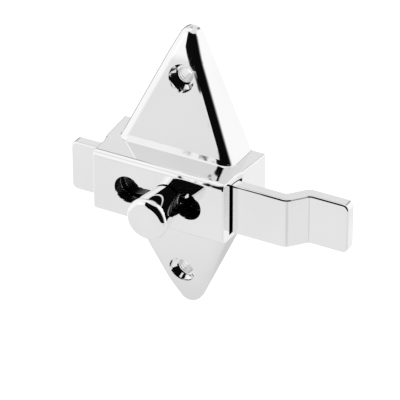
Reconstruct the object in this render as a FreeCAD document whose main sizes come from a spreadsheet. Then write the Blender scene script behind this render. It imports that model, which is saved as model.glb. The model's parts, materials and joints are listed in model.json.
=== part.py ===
import FreeCAD, Part
import math
import os
import Sketcher

# Slide bolt latch with a diamond-shaped cast body, for a cubicle door.
# Frame: the door face is the plane Y = 0 and the latch stands out from it towards -Y.
# X runs along the bolt towards its tip, Z runs up between the two fixing holes, and the
# origin lies midway between those holes on the door face. Depths are measured out from the door.

doc = FreeCAD.newDocument("slide_bolt_latch")
sheet = doc.addObject("Spreadsheet::Sheet", "sizes")

# Driving sizes in millimetres and degrees
driving = [
    # Fixing holes
    ("hole_spacing", 69.85),
    ("hole_bore", 5.2),
    ("seat_ledge", 1.9),
    ("seat_floor", 5.6),
    ("seat_bevel", 1.1),
    # Diamond outline of the casting, its sloping faces and their noses at the tips
    ("tip_margin", 15.094),
    ("tip_radius", 4.05),
    ("edge_angle", 24.5),
    ("tip_depth", 3.6),
    ("nose_length", 9.019),
    ("nose_drop", 3.565),
    ("face_slope", 11.3),
    ("roll_radius", 30.0),
    ("edge_round", 3.2),
    # Block across the middle and the bridge over the bolt
    ("channel_wall", 2.0),
    ("floor_rise", 0.3),
    ("front_wall", 3.9),
    ("shoulder_inset", 1.0),
    ("shoulder_round", 1.0),
    ("flare_inset", 1.95),
    ("flare_run", 2.6),
    ("flare_round", 13.0),
    ("bridge_inset", 2.1),
    ("bridge_round", 2.0),
    ("corner_round", 0.6),
    ("root_round", 0.8),
    # Dumbbell slot for the knob
    ("lobe_spacing", 21.5),
    ("lobe_bore", 9.3),
    ("slot_play", 0.25),
    # Hollow back of the casting
    ("cast_wall", 2.5),
    ("floor_wall", 2.2),
    ("boss_wall", 1.5),
    ("reach_margin", 3.925),
    ("core_round", 1.0),
    ("driver_hole", 9.5),
    # Bolt bar, with what still stands out of the block at each end when it is thrown or drawn
    ("bolt_height", 17.2),
    ("bolt_thick", 3.97),
    ("slide_gap", 0.2),
    ("tail_margin", 1.35),
    ("bend_margin", 2.85),
    ("joggle_run", 5.0),
    ("joggle", 6.1),
    ("flat_end", 13.3),
    ("bend_outside", 3.5),
    ("bend_inside", 1.5),
    ("bar_corner", 2.0),
    ("bar_edge", 0.6),
    ("bar_bevel", 0.25),
    ("collar_play", 0.35),
    ("collar_height", 1.15),
    ("collar_gap", 0.05),
    # Knob and how far along the slot it stands
    ("knob_place", 3.4),
    ("knob_width", 14.0),
    ("knob_length", 13.4),
    ("knob_rim", 2.2),
    ("rim_round", 1.9),
    ("knob_taper", 1.5),
    ("foot_gap", 0.6),
    # Screw that holds the knob, and the leaf spring under its head
    ("screw_width", 3.9),
    ("screw_head", 6.6),
    ("head_height", 0.8),
    ("head_gap", 0.28),
    ("screw_reach", 9.0),
    ("hole_spare", 0.5),
    ("thread_gap", 0.03),
    ("hole_gap", 0.2),
    ("spring_thick", 0.35),
    ("spring_inset", 2.1),
    ("spring_length", 24.0),
    ("spring_flat", 9.0),
    ("spring_gap", 0.1),
    # How far a cutting profile runs past the metal
    ("overrun", 1.0),
]

# Sizes that follow from the driving ones
derived = [
    ("half_spacing", "=hole_spacing / 2"),
    ("half_lobes", "=lobe_spacing / 2"),
    ("seat_bore", "=hole_bore + 2 * seat_ledge"),
    ("boss_width", "=seat_bore + 2 * boss_wall"),
    ("tip", "=half_spacing + tip_margin"),
    ("apex", "=tip + tip_radius * (1 / sin(edge_angle * 1 deg) - 1)"),
    ("half_width", "=apex * tan(edge_angle * 1 deg)"),
    ("diamond_width", "=2 * half_width"),
    ("channel_height", "=bolt_height + 2 * slide_gap"),
    ("block_height", "=channel_height + 2 * channel_wall"),
    ("half_block", "=block_height / 2"),
    ("inner_edge", "=half_block / 3"),
    ("inner_width", "=(apex - inner_edge) * tan(edge_angle * 1 deg)"),
    ("roll_start", "=tip - nose_length"),
    ("roll_depth", "=tip_depth + nose_drop"),
    ("face_root", "=roll_depth + (roll_start - half_block) * tan(face_slope * 1 deg)"),
    ("shoulder_side", "=half_width - shoulder_inset"),
    ("flare_side", "=half_width - flare_inset"),
    ("flare_depth", "=face_root + flare_run"),
    ("bridge_side", "=half_width - bridge_inset"),
    ("channel_floor", "=face_root + floor_rise"),
    ("screw_back", "=channel_floor + head_gap"),
    ("spring_back", "=screw_back + head_height"),
    ("bolt_back", "=spring_back + spring_thick"),
    ("bolt_front", "=bolt_back + bolt_thick"),
    ("channel_front", "=bolt_front + collar_height + collar_gap"),
    ("bridge_depth", "=channel_front + front_wall"),
    ("foot", "=bridge_depth + foot_gap"),
    ("knob_front", "=foot + knob_length"),
    ("screw_tip", "=foot + screw_reach"),
    ("slot_height", "=screw_width + 2 * slot_play"),
    ("core_reach", "=half_spacing - reach_margin"),
    ("core_depth", "=channel_floor - floor_wall"),
    ("core_side", "=shoulder_side - cast_wall"),
    ("core_block", "=half_block - cast_wall"),
    ("core_middle", "=half_width - cast_wall / cos(edge_angle * 1 deg)"),
    ("core_end", "=core_middle - core_reach * tan(edge_angle * 1 deg)"),
    ("core_root", "=face_root - cast_wall / cos(face_slope * 1 deg)"),
    ("core_tip", "=core_root - (core_reach - half_block) * tan(face_slope * 1 deg)"),
    ("bolt_tail", "=half_width + half_lobes + tail_margin"),
    ("bend_start", "=half_width + half_lobes + bend_margin"),
    ("bend_end", "=bend_start + joggle_run"),
    ("bend_shift", "=bolt_thick * tan(atan(joggle / joggle_run) / 2)"),
    ("bolt_reach", "=bend_end + flat_end"),
    ("tip_front", "=bolt_front - joggle"),
    ("tip_back", "=bolt_back - joggle"),
    ("collar_width", "=lobe_bore - 2 * collar_play"),
    ("knob_foot", "=knob_width - 2 * knob_taper"),
    ("screw_hole", "=screw_width + 2 * hole_gap"),
    ("knob_bore", "=screw_width + 2 * thread_gap"),
    ("spring_width", "=bolt_height - 2 * spring_inset"),
    ("spring_drop", "=spring_back - channel_floor - spring_gap"),
]


def fill_sheet():
    row = 1
    for name, value in driving:
        sheet.set("A%d" % row, name)
        sheet.set("B%d" % row, str(value))
        sheet.setAlias("B%d" % row, name)
        row += 1
    doc.recompute()
    for name, formula in derived:
        sheet.set("A%d" % row, name)
        sheet.set("B%d" % row, formula)
        sheet.setAlias("B%d" % row, name)
        row += 1
    doc.recompute()


def cell(name):
    return float(getattr(sheet, name))


def linked(expression):
    """Turn the sheet's names in an expression into references to its cells."""
    words = {name for name, entry in driving + derived}
    parts = expression.split(" ")
    return " ".join("sizes." + part if part in words else part for part in parts)


def value_of(expression):
    """Present value of an expression in the sheet's names."""
    result = sheet.evalExpression(linked(expression))
    return float(getattr(result, "Value", result))


def bind(thing, prop, expression):
    thing.setExpression(prop, linked(expression))


def new_body(name):
    body = doc.addObject("PartDesign::Body", name)
    body.Label = name
    return body


def origin_item(body, role):
    for item in body.Origin.OriginFeatures:
        if item.Role == role:
            return item


def new_sketch(body, name, plane, height=None):
    """Sketch on one of the body's own planes, or lifted off it by an expression."""
    sketch = body.newObject("Sketcher::SketchObject", name)
    sketch.AttachmentSupport = [(origin_item(body, plane), "")]
    sketch.MapMode = "FlatFace"
    if height:
        bind(sketch, "AttachmentOffset.Base.z", height)
    return sketch


def pin_point(sketch, item, end, across, up):
    """Hold a point of a sketch at two expressions, measured from the sketch's origin."""
    for kind, expression in (("DistanceX", across), ("DistanceY", up)):
        constraint = Sketcher.Constraint(kind, -1, 1, item, end, value_of(expression))
        number = sketch.addConstraint(constraint)
        bind(sketch, "Constraints[%d]" % number, expression)


def add_outline(sketch, corners):
    """Closed outline of straight lines through the corners, each held by two expressions."""
    points = [FreeCAD.Vector(value_of(across), value_of(up), 0) for across, up in corners]
    lines = []
    for here, there in zip(points, points[1:] + points[:1]):
        lines.append(sketch.addGeometry(Part.LineSegment(here, there), False))
    for line, following in zip(lines, lines[1:] + lines[:1]):
        sketch.addConstraint(Sketcher.Constraint("Coincident", line, 2, following, 1))
    for line, (across, up) in zip(lines, corners):
        pin_point(sketch, line, 1, across, up)


def add_circle(sketch, across, up, diameter):
    centre = FreeCAD.Vector(value_of(across), value_of(up), 0)
    normal = FreeCAD.Vector(0, 0, 1)
    circle = sketch.addGeometry(Part.Circle(centre, normal, value_of(diameter) / 2), False)
    pin_point(sketch, circle, 3, across, up)
    number = sketch.addConstraint(Sketcher.Constraint("Diameter", circle, value_of(diameter)))
    bind(sketch, "Constraints[%d]" % number, diameter)


def mirrored_corners(corners, flip_across=-1, flip_up=1):
    """The same corners with the signs of one or both coordinates changed."""
    result = []
    for across, up in corners:
        new_across = "-1 * ( " + across + " )" if flip_across < 0 else across
        new_up = "-1 * ( " + up + " )" if flip_up < 0 else up
        result.append((new_across, new_up))
    return result


def pad(body, name, sketch, length, symmetric=False):
    feature = body.newObject("PartDesign::Pad", name)
    feature.Profile = sketch
    feature.SideType = "Symmetric" if symmetric else "One side"
    bind(feature, "Length", length)
    doc.recompute()
    return feature


def pocket(body, name, sketch, length, symmetric=False, outward=False):
    """Cut along the sketch's normal when outward, else against it; it has to remove metal."""
    before = body.Shape.Volume
    feature = body.newObject("PartDesign::Pocket", name)
    feature.Profile = sketch
    feature.SideType = "Symmetric" if symmetric else "One side"
    feature.Reversed = outward
    bind(feature, "Length", length)
    doc.recompute()
    if not body.Shape.Volume < before - 0.01:
        raise RuntimeError(name + " removed nothing")
    return feature


def revolve(body, name, sketch):
    """Turn a profile round the sketch's upright axis."""
    feature = body.newObject("PartDesign::Revolution", name)
    feature.Profile = sketch
    feature.ReferenceAxis = (sketch, ["V_Axis"])
    doc.recompute()
    return feature


def dress(body, name, kind, size_name, size, wanted):
    """Round or bevel every edge of the body's present shape that the test picks out."""
    base = body.Tip
    names = ["Edge%d" % (i + 1) for i, edge in enumerate(base.Shape.Edges) if wanted(edge)]
    if not names:
        raise RuntimeError(name + " found no edge")
    feature = body.newObject("PartDesign::" + kind, name)
    feature.Base = (base, names)
    bind(feature, size_name, size)
    doc.recompute()
    if "Invalid" in feature.State or "Error" in feature.State:
        raise RuntimeError(name + " failed")
    return feature


def fillet(body, name, radius, wanted):
    return dress(body, name, "Fillet", "Radius", radius, wanted)


def chamfer(body, name, size, wanted):
    return dress(body, name, "Chamfer", "Size", size, wanted)


def runs_along(edge, direction):
    """True for a straight edge parallel to X, Y or Z."""
    if edge.Curve.TypeId != "Part::GeomLine":
        return False
    return abs(getattr(edge.Curve.Direction, direction)) > 0.999


def is_ring(edge, radius):
    """True for a closed edge as long as a circle of the given radius."""
    return edge.Closed and near(edge.Length, 2 * math.pi * radius)


def near(number, target, slack=0.02):
    return abs(number - target) < slack


def middle(edge):
    return edge.valueAt((edge.FirstParameter + edge.LastParameter) / 2)


def normal_of(face):
    u_low, u_high, v_low, v_high = face.ParameterRange
    return face.normalAt((u_low + u_high) / 2, (v_low + v_high) / 2)


fill_sheet()

# Housing: the diamond wedge, standing out from the door
housing = new_body("casting")
diamond = new_sketch(housing, "diamond_outline", "XZ_Plane")
add_outline(diamond, [
    ("inner_width", "inner_edge"),
    ("0 * apex", "apex"),
    ("-1 * inner_width", "inner_edge"),
    ("-1 * inner_width", "-1 * inner_edge"),
    ("0 * apex", "-1 * apex"),
    ("inner_width", "-1 * inner_edge"),
])
pad(housing, "diamond_pad", diamond, "face_root")
fillet(housing, "tip_rounds", "tip_radius",
       lambda edge: runs_along(edge, "y") and near(middle(edge).x, 0))

# Sloping faces above and below the block, each with a steeper nose at its tip
slope_corners = [
    ("-1 * face_root", "half_block"),
    ("-1 * roll_depth", "roll_start"),
    ("-1 * tip_depth", "tip"),
    ("-1 * tip_depth", "apex + overrun"),
    ("-1 * face_root - overrun", "apex + overrun"),
    ("-1 * face_root - overrun", "half_block"),
]
slopes = new_sketch(housing, "slope_profile", "YZ_Plane")
add_outline(slopes, slope_corners)
add_outline(slopes, mirrored_corners(slope_corners, 1, -1))
pocket(housing, "slopes", slopes, "2 * diamond_width", symmetric=True)
fillet(housing, "nose_rolls", "roll_radius",
       lambda edge: runs_along(edge, "x") and near(abs(middle(edge).z), cell("roll_start")))


def is_front_rim(edge):
    """An edge between a side wall and a face that looks away from the door."""
    faces = housing.Tip.Shape.ancestorsOfType(edge, Part.Face)
    leans = sorted(normal_of(face).y for face in faces)
    return leans[0] < -0.5 and near(leans[1], 0)


fillet(housing, "wedge_rounds", "edge_round", is_front_rim)

# Block across the middle with the bridge that covers the bolt, drawn in plan
plan_side = [
    ("half_width", "0 * half_width"),
    ("shoulder_side", "-1 * face_root"),
    ("flare_side", "-1 * flare_depth"),
    ("bridge_side", "-1 * bridge_depth"),
]
plan = new_sketch(housing, "block_plan", "XY_Plane")
add_outline(plan, plan_side + mirrored_corners(plan_side)[::-1])
pad(housing, "block", plan, "block_height", symmetric=True)
fillet(housing, "flares", "flare_round",
       lambda edge: runs_along(edge, "z") and near(middle(edge).y, -cell("flare_depth")))
fillet(housing, "shoulders", "shoulder_round",
       lambda edge: runs_along(edge, "z") and near(middle(edge).y, -cell("face_root")))
fillet(housing, "bridge_rounds", "bridge_round",
       lambda edge: runs_along(edge, "x") and near(middle(edge).y, -cell("bridge_depth")))


def is_side_rim(edge):
    """An edge round one of the block's two ends, apart from the one on the door."""
    faces = housing.Tip.Shape.ancestorsOfType(edge, Part.Face)
    leans = sorted(abs(normal_of(face).x) for face in faces)
    point = middle(edge)
    outside = abs(point.x) > cell("bridge_side") - 0.1 and point.y < -0.01
    return outside and leans[0] < 0.5 and leans[1] > 0.9


fillet(housing, "end_rounds", "corner_round", is_side_rim)


def is_root(edge):
    """An edge where the foot of a wedge meets the block's top or bottom."""
    point = middle(edge)
    inside = abs(point.x) < cell("half_width") - cell("corner_round") and point.y < -0.01
    return inside and near(abs(point.z), cell("half_block")) and -point.y < cell("face_root") + 0.1


fillet(housing, "wedge_roots", "root_round", is_root)

# Channel for the bolt, right through the bridge
channel = new_sketch(housing, "channel_section", "YZ_Plane")
add_outline(channel, [
    ("-1 * channel_front", "-1 * channel_height / 2"),
    ("-1 * channel_floor", "-1 * channel_height / 2"),
    ("-1 * channel_floor", "channel_height / 2"),
    ("-1 * channel_front", "channel_height / 2"),
])
pocket(housing, "channel", channel, "2 * diamond_width", symmetric=True)

# Dumbbell slot in the bridge: a straight run with a round lobe at each end
lobes = new_sketch(housing, "lobe_circles", "XZ_Plane", "channel_floor + overrun")
add_circle(lobes, "half_lobes", "0 * half_lobes", "lobe_bore")
add_circle(lobes, "-1 * half_lobes", "0 * half_lobes", "lobe_bore")
pocket(housing, "lobes", lobes, "bridge_depth", outward=True)
run = new_sketch(housing, "slot_outline", "XZ_Plane", "channel_floor + overrun")
add_outline(run, [
    ("half_lobes", "slot_height / 2"),
    ("-1 * half_lobes", "slot_height / 2"),
    ("-1 * half_lobes", "-1 * slot_height / 2"),
    ("half_lobes", "-1 * slot_height / 2"),
])
pocket(housing, "slot", run, "bridge_depth", outward=True)

# Fixing holes, each with a flat seat sunk in the sloping face
holes = new_sketch(housing, "hole_circles", "XZ_Plane")
add_circle(holes, "0 * half_spacing", "half_spacing", "hole_bore")
add_circle(holes, "0 * half_spacing", "-1 * half_spacing", "hole_bore")
pocket(housing, "fixing_holes", holes, "bridge_depth", outward=True)
seats = new_sketch(housing, "seat_circles", "XZ_Plane", "seat_floor")
add_circle(seats, "0 * half_spacing", "half_spacing", "seat_bore")
add_circle(seats, "0 * half_spacing", "-1 * half_spacing", "seat_bore")
pocket(housing, "hole_seats", seats, "bridge_depth", outward=True)
chamfer(housing, "seat_dishes", "seat_bevel",
        lambda edge: is_ring(edge, cell("seat_bore") / 2) and near(middle(edge).y, -cell("seat_floor")))

# Access hole in the channel floor, behind one lobe, for a driver on the knob's screw
access = new_sketch(housing, "access_circle", "XZ_Plane")
add_circle(access, "-1 * half_lobes", "0 * half_lobes", "driver_hole")
pocket(housing, "driver_access", access, "channel_floor + overrun", outward=True)

# Hollow back: what the core takes out of the block and of the two wedges
core = new_body("core")
core_wedge = new_sketch(core, "core_outline", "XZ_Plane")
add_outline(core_wedge, [
    ("core_middle", "0 * core_reach"),
    ("core_end", "core_reach"),
    ("-1 * core_end", "core_reach"),
    ("-1 * core_middle", "0 * core_reach"),
    ("-1 * core_end", "-1 * core_reach"),
    ("core_end", "-1 * core_reach"),
])
pad(core, "core_wedge", core_wedge, "core_root")
core_slopes = new_sketch(core, "core_slope_profile", "YZ_Plane")
core_corners = [
    ("-1 * core_root", "half_block"),
    ("-1 * core_tip", "core_reach"),
    ("-1 * core_tip", "core_reach + overrun"),
    ("-1 * core_root - overrun", "core_reach + overrun"),
    ("-1 * core_root - overrun", "half_block"),
]
add_outline(core_slopes, core_corners)
add_outline(core_slopes, mirrored_corners(core_corners, 1, -1))
pocket(core, "core_slopes", core_slopes, "2 * diamond_width", symmetric=True)
bosses = new_sketch(core, "boss_circles", "XZ_Plane")
add_circle(bosses, "0 * half_spacing", "half_spacing", "boss_width")
add_circle(bosses, "0 * half_spacing", "-1 * half_spacing", "boss_width")
pocket(core, "bosses", bosses, "bridge_depth", outward=True)
core_block = new_sketch(core, "core_block_outline", "XZ_Plane")
add_outline(core_block, [
    ("core_side", "core_block"),
    ("-1 * core_side", "core_block"),
    ("-1 * core_side", "-1 * core_block"),
    ("core_side", "-1 * core_block"),
])
pad(core, "core_block", core_block, "core_depth")
fillet(core, "core_corners", "core_round", lambda edge: runs_along(edge, "y"))

hollowed = doc.addObject("Part::Cut", "hollowed")
hollowed.Base = housing
hollowed.Tool = core
hollowed.Label = "housing"
doc.recompute()

# Bolt: a flat bar, bent towards the door near its tip, with a low collar round the knob's screw
bolt = new_body("bolt")
bar = new_sketch(bolt, "bar_profile", "XY_Plane")
add_outline(bar, [
    ("-1 * bolt_tail", "-1 * bolt_front"),
    ("bend_start", "-1 * bolt_front"),
    ("bend_end", "-1 * tip_front"),
    ("bolt_reach", "-1 * tip_front"),
    ("bolt_reach", "-1 * tip_back"),
    ("bend_end - bend_shift", "-1 * tip_back"),
    ("bend_start - bend_shift", "-1 * bolt_back"),
    ("-1 * bolt_tail", "-1 * bolt_back"),
])
pad(bolt, "bar", bar, "bolt_height", symmetric=True)


def bend_edge(places):
    """Picks the upright edges of the bar at the given places along it and depths."""
    wanted = [(value_of(across), value_of(depth)) for across, depth in places]

    def test(edge):
        point = middle(edge)
        return runs_along(edge, "z") and any(near(point.x, across) and near(-point.y, depth)
                                             for across, depth in wanted)
    return test


fillet(bolt, "outer_bends", "bend_outside",
       bend_edge([("bend_start", "bolt_front"), ("bend_end - bend_shift", "tip_back")]))
fillet(bolt, "inner_bends", "bend_inside",
       bend_edge([("bend_end", "tip_front"), ("bend_start - bend_shift", "bolt_back")]))
fillet(bolt, "bar_corners", "bar_corner", lambda edge: runs_along(edge, "y"))


def is_bar_rim(edge, side):
    """An edge between the bar's thin edge and its broad face towards -Y or +Y."""
    faces = bolt.Tip.Shape.ancestorsOfType(edge, Part.Face)
    leans = sorted(side * normal_of(face).y for face in faces)
    return near(leans[0], 0) and leans[1] > 0.5


# The blanked bar is rounded over on its front and only has its sharp edges broken behind
fillet(bolt, "bar_rims", "bar_edge", lambda edge: is_bar_rim(edge, -1))
chamfer(bolt, "bar_bevels", "bar_bevel", lambda edge: is_bar_rim(edge, 1))
collar = new_sketch(bolt, "collar_circle", "XZ_Plane", "bolt_back + bolt_thick / 2")
add_circle(collar, "0 * bolt_tail", "0 * bolt_tail", "collar_width")
pad(bolt, "collar", collar, "bolt_thick / 2 + collar_height")
screw_way = new_sketch(bolt, "screw_way_circle", "XZ_Plane")
add_circle(screw_way, "0 * bolt_tail", "0 * bolt_tail", "screw_hole")
pocket(bolt, "screw_way", screw_way, "bridge_depth", outward=True)
bind(bolt, "Placement.Base.x", "knob_place")

# Knob: turned, widest at its well-rounded rim, with a blind tapped hole from behind
knob = new_body("knob")
turning = new_sketch(knob, "knob_profile", "XY_Plane")
add_outline(turning, [
    ("knob_bore / 2", "-1 * foot"),
    ("knob_foot / 2", "-1 * foot"),
    ("knob_width / 2", "-1 * knob_front + knob_rim"),
    ("knob_width / 2", "-1 * knob_front"),
    ("0 * knob_front", "-1 * knob_front"),
    ("0 * knob_front", "-1 * screw_tip - hole_spare"),
    ("knob_bore / 2", "-1 * screw_tip - hole_spare"),
])
revolve(knob, "knob_turning", turning)
fillet(knob, "knob_face_round", "rim_round",
       lambda edge: is_ring(edge, cell("knob_width") / 2) and near(middle(edge).y, -cell("knob_front")))
bind(knob, "Placement.Base.x", "knob_place")

# Knob screw, put in from behind through the bolt
knob_screw = new_body("knob_screw")
screw_profile = new_sketch(knob_screw, "screw_profile", "XY_Plane")
add_outline(screw_profile, [
    ("0 * screw_tip", "-1 * screw_back"),
    ("screw_head / 2", "-1 * screw_back"),
    ("screw_head / 2", "-1 * spring_back"),
    ("screw_width / 2", "-1 * spring_back"),
    ("screw_width / 2", "-1 * screw_tip"),
    ("0 * screw_tip", "-1 * screw_tip"),
])
revolve(knob_screw, "screw_turning", screw_profile)
bind(knob_screw, "Placement.Base.x", "knob_place")

# Leaf spring: a bowed strip between the bolt and the channel floor, held by the screw's head
leaf_spring = new_body("leaf_spring")
strip = new_sketch(leaf_spring, "spring_profile", "XY_Plane")
half_strip = [
    ("spring_flat / 2", "-1 * bolt_back"),
    ("spring_length / 2", "-1 * bolt_back + spring_drop"),
    ("spring_length / 2", "-1 * spring_back + spring_drop"),
    ("spring_flat / 2", "-1 * spring_back"),
]
add_outline(strip, half_strip + mirrored_corners(half_strip)[::-1])
pad(leaf_spring, "strip", strip, "spring_width", symmetric=True)
spring_hole = new_sketch(leaf_spring, "spring_hole_circle", "XZ_Plane")
add_circle(spring_hole, "0 * spring_flat", "0 * spring_flat", "screw_hole")
pocket(leaf_spring, "spring_hole", spring_hole, "bridge_depth", outward=True)
bind(leaf_spring, "Placement.Base.x", "knob_place")

doc.recompute()

# Every feature has to be sound before anything is written
for item in doc.Objects:
    if "Invalid" in item.State or "Error" in item.State:
        raise RuntimeError(item.Name + " failed: " + " ".join(item.State))

pieces = [hollowed, bolt, knob, knob_screw, leaf_spring]
os.makedirs("parts", exist_ok=True)
for piece in pieces:
    shape = piece.Shape
    if shape.isNull() or not shape.isValid() or len(shape.Solids) != 1:
        raise RuntimeError(piece.Label + " is not one sound solid")
    shape.exportStep(os.path.join("parts", piece.Label + ".step"))
    box = shape.BoundBox
    print("%-12s %10.1f mm3  x %7.2f %7.2f  y %7.2f %7.2f  z %7.2f %7.2f" % (
        piece.Label, shape.Volume, box.XMin, box.XMax, box.YMin, box.YMax, box.ZMin, box.ZMax))
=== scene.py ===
# %% [markdown]
# This lesson dresses a slide bolt latch: a hollow chrome-plated casting, the flat bolt that slides
# through its bridge, and the round knob that moves it. The solids come from the frame at their real
# size in metres and stay as they are. A mirror has almost no colour of its own, so the work is in
# two places: the small faults of each plated surface, and the bright tent that the chrome reflects.

# %% Load the frame
import json
import math
import bmesh
import bpy
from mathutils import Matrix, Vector


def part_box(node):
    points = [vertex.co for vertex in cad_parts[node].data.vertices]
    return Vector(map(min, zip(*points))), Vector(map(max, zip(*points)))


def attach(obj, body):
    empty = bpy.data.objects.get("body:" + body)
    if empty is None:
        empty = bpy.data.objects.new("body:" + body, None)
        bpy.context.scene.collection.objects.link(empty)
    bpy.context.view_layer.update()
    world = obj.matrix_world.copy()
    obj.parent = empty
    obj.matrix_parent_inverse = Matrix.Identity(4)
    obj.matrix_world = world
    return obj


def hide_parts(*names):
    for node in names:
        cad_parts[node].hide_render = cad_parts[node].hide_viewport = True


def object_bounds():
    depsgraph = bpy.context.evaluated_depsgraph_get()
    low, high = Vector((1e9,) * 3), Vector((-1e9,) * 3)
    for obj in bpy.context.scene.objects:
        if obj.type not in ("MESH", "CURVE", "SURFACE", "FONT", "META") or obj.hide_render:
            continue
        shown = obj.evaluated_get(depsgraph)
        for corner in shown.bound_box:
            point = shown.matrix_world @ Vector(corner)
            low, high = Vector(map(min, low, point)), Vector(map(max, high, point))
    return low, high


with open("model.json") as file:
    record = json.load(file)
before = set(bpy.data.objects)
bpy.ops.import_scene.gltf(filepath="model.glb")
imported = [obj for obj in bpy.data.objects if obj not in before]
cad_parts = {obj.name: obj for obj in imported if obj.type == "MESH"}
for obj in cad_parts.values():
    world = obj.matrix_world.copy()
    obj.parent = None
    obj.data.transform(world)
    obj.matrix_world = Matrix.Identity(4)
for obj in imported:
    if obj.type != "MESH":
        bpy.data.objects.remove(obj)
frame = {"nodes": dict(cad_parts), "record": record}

MM = 0.001
cad_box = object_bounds()
print("CAD box, mm:", [[round(side / MM, 2) for side in corner] for corner in cad_box])

# %% [markdown]
# Every material here is a net of nodes. Two helpers are enough to write one down: a function that
# turns the sRGB colours a painter picks into the linear numbers that light is worked out in, and a
# function that adds one node, sets it up and wires it to the nodes before it.

# %% Colours and nodes
def linear(srgb):
    """The linear red, green, blue and alpha of an sRGB hex colour."""
    channels = [int(srgb[i:i + 2], 16) / 255 for i in (0, 2, 4)]
    return [c / 12.92 if c < 0.04045 else ((c + 0.055) / 1.055) ** 2.4 for c in channels] + [1.0]


def add_node(tree, kind, inputs=None, **settings):
    """One new node; inputs maps the name or number of an input to a value or to an output."""
    node = tree.nodes.new(kind)
    for name, value in settings.items():
        setattr(node, name, value)
    for name, value in (inputs or {}).items():
        if isinstance(value, bpy.types.NodeSocket):
            tree.links.new(value, node.inputs[name])
        else:
            node.inputs[name].default_value = value
    return node


print("white paper f0f0f0 is", round(linear("f0f0f0")[0], 3), "in linear light")

# %% [markdown]
# A pattern is sized by what makes it on the real surface. Noise in Blender is sized by how often it
# repeats in a metre, so a small function turns millimetres into that number. Every pattern reads
# Object coordinates, which measure the piece itself in metres, and so it rides with its piece.

# %% Start a finish
def per_metre(size_mm):
    """How often a pattern of this size repeats in a metre."""
    return 1 / (size_mm * MM)


def begin_finish(name):
    """An empty material with its node tree and the piece's own coordinates."""
    material = bpy.data.materials.new(name)
    material.use_nodes = True
    tree = material.node_tree
    tree.nodes.clear()
    place = add_node(tree, "ShaderNodeTexCoord").outputs["Object"]
    return material, tree, place


print("a 9 mm ripple has a noise scale of", round(per_metre(9)))

# %% [markdown]
# No plated surface is the same all over. Its haze and its tint wander a little, over patches of a
# few millimetres. Noise gives that, stretched to the range that is wanted. It seldom leaves the
# middle of its own range, so only that middle is stretched.

# %% Uneven numbers and tints
NOISE_LOW, NOISE_HIGH = 0.3, 0.7


def uneven(tree, place, size_mm, low, high):
    """A number that wanders between low and high over patches of this size."""
    patches = add_node(tree, "ShaderNodeTexNoise", {
        "Vector": place, "Scale": per_metre(size_mm), "Detail": 2.0})
    return add_node(tree, "ShaderNodeMapRange", {
        "Value": patches.outputs[0], "From Min": NOISE_LOW, "From Max": NOISE_HIGH,
        "To Min": low, "To Max": high}).outputs[0]


def uneven_tint(tree, place, size_mm, first, second):
    """A colour that wanders between two sRGB colours over patches of this size."""
    return add_node(tree, "ShaderNodeMix", {
        "Factor": uneven(tree, place, size_mm, 0.0, 1.0),
        6: linear(first), 7: linear(second)}, data_type="RGBA").outputs[2]


print("noise from", NOISE_LOW, "to", NOISE_HIGH, "is stretched over the whole range")

# %% [markdown]
# The casting is zinc, polished on a soft wheel and plated with bright chrome. The wheel leaves the
# skin a little wavy, ripples about 9 mm long and some hundredths of a millimetre high, with smaller
# ones on top. On a flat face nobody sees them. Where the face turns a corner, they are what makes
# the edge of a black reflection run in and out. Bump does this well, because the ripples are far
# too low to change the outline.

# %% Waves of the polishing wheel
WAVE = 9.0
WAVE_HEIGHT = 0.045


def polished_skin(tree, place, wave_mm, height_mm):
    """A normal that ripples as wheel-polished metal does."""
    ripple = add_node(tree, "ShaderNodeTexNoise", {
        "Vector": place, "Scale": per_metre(wave_mm), "Detail": 2.0, "Roughness": 0.45})
    return add_node(tree, "ShaderNodeBump", {
        "Strength": 1.0, "Distance": height_mm * MM, "Height": ripple.outputs[0]}).outputs[0]


print("slope of the ripples, degrees:", round(math.degrees(WAVE_HEIGHT * 2 / WAVE), 2))

# %% [markdown]
# Chrome hardly reaches into a hollow, because the current in the bath favours what stands out. So
# the casting's back stays the grey of zinc under a thin flash, and the channel and the slot's
# walls are dull. These two are also painted dark, as painted shade in their recesses. The mesh is
# one piece, so the finish finds these places by itself. They are alike left and right, up and
# down, so a point is folded onto one quarter first: how far aside it lies, how far out from the
# door, and how far up or down.

# %% Fold the casting
def fold(tree, place):
    """The folded point, with its depth out from the door and its height as numbers of their own."""
    axes = add_node(tree, "ShaderNodeSeparateXYZ", {0: place}).outputs
    aside = add_node(tree, "ShaderNodeMath", {0: axes["X"]}, operation="ABSOLUTE").outputs[0]
    depth = add_node(tree, "ShaderNodeMath", {0: axes["Y"], 1: -1.0}, operation="MULTIPLY").outputs[0]
    height = add_node(tree, "ShaderNodeMath", {0: axes["Z"]}, operation="ABSOLUTE").outputs[0]
    folded = add_node(tree, "ShaderNodeCombineXYZ", {"X": aside, "Y": depth, "Z": height})
    return folded.outputs[0], depth, height


print("half of the part's height, mm:", round((cad_box[1][2] - cad_box[0][2]) / 2 / MM, 2))
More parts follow.
